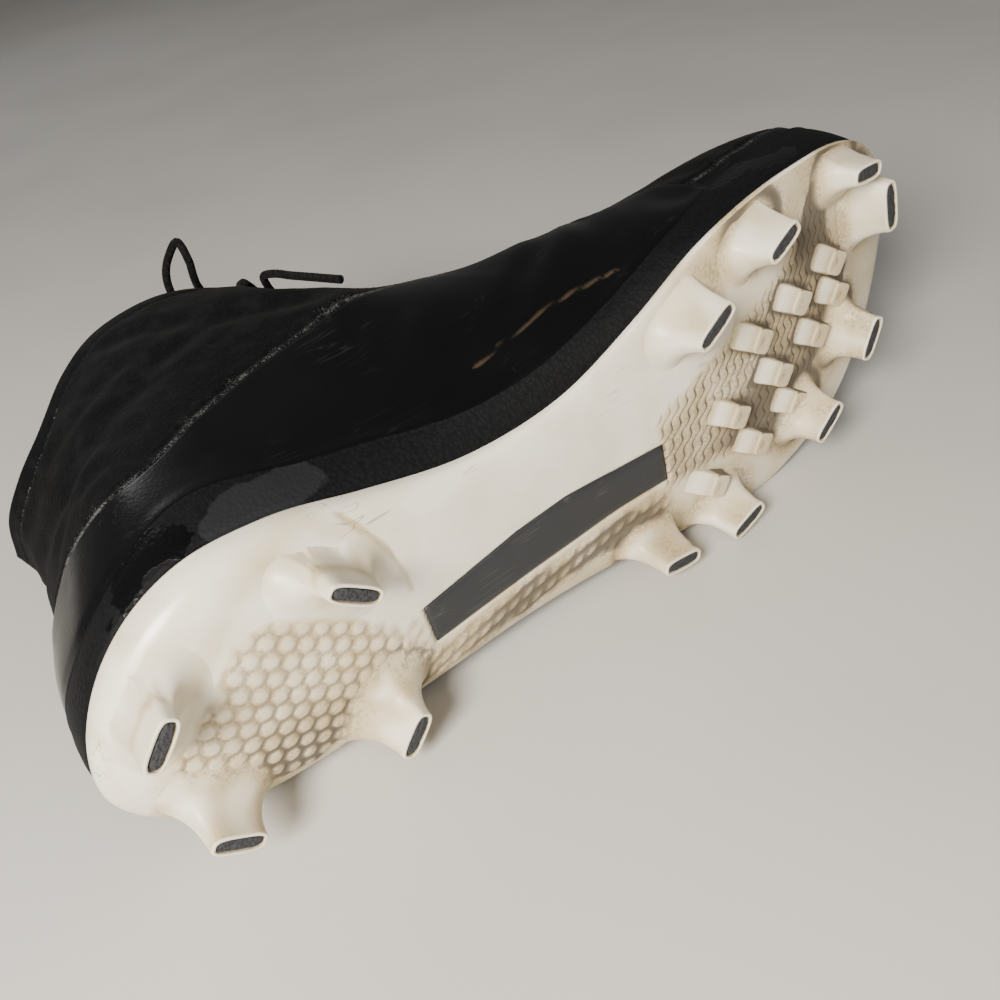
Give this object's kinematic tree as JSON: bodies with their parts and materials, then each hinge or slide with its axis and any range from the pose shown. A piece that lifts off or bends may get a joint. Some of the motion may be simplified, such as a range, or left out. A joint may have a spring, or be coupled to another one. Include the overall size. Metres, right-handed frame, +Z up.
{
  "type": "baseball cleat",
  "caption": "Mid-top athletic shoe with a moulded plate of blade studs and square lugs, a foam band, a padded lace-up upper and a tongue, lying on its side",
  "frame": {"origin": "middle of the bounding box in plan, on the floor the shoe lies on", "axes": "X from heel to toe, Y from the stud side to the collar side, Z up out of the medial side"},
  "size_m": [0.2976, 0.1734, 0.107],
  "materials": {
    "outsole": "satin moulded thermoplastic, dusty and scratched",
    "stud_tip": "dark pebbled pad with dried dirt",
    "shank_inlay": "dark grey, dusty",
    "midsole": "matt grey foam skin with worn glossy film",
    "upper": "black, glossy smooth quarter and knitted ankle, scuffed",
    "tongue": "black padded mesh",
    "insole": "dark cloth-topped foam",
    "lace": "black round woven lace"
  },
  "bodies": {
    "root": {"outsole": "outsole", "stud_tip_01": "stud_tip", "stud_tip_02": "stud_tip", "stud_tip_03": "stud_tip", "stud_tip_04": "stud_tip", "stud_tip_05": "stud_tip", "stud_tip_06": "stud_tip", "stud_tip_07": "stud_tip", "stud_tip_08": "stud_tip", "stud_tip_09": "stud_tip", "stud_tip_10": "stud_tip", "stud_tip_11": "stud_tip", "stud_tip_12": "stud_tip", "shank_inlay": "shank_inlay", "midsole": "midsole", "upper": "upper", "tongue": "tongue", "insole": "insole", "laces": "lace", "lace_knot": "lace", "lace_loop_medial": "lace", "lace_loop_lateral": "lace", "lace_end_medial": "lace", "lace_end_lateral": "lace"}
  },
  "joints": []
}
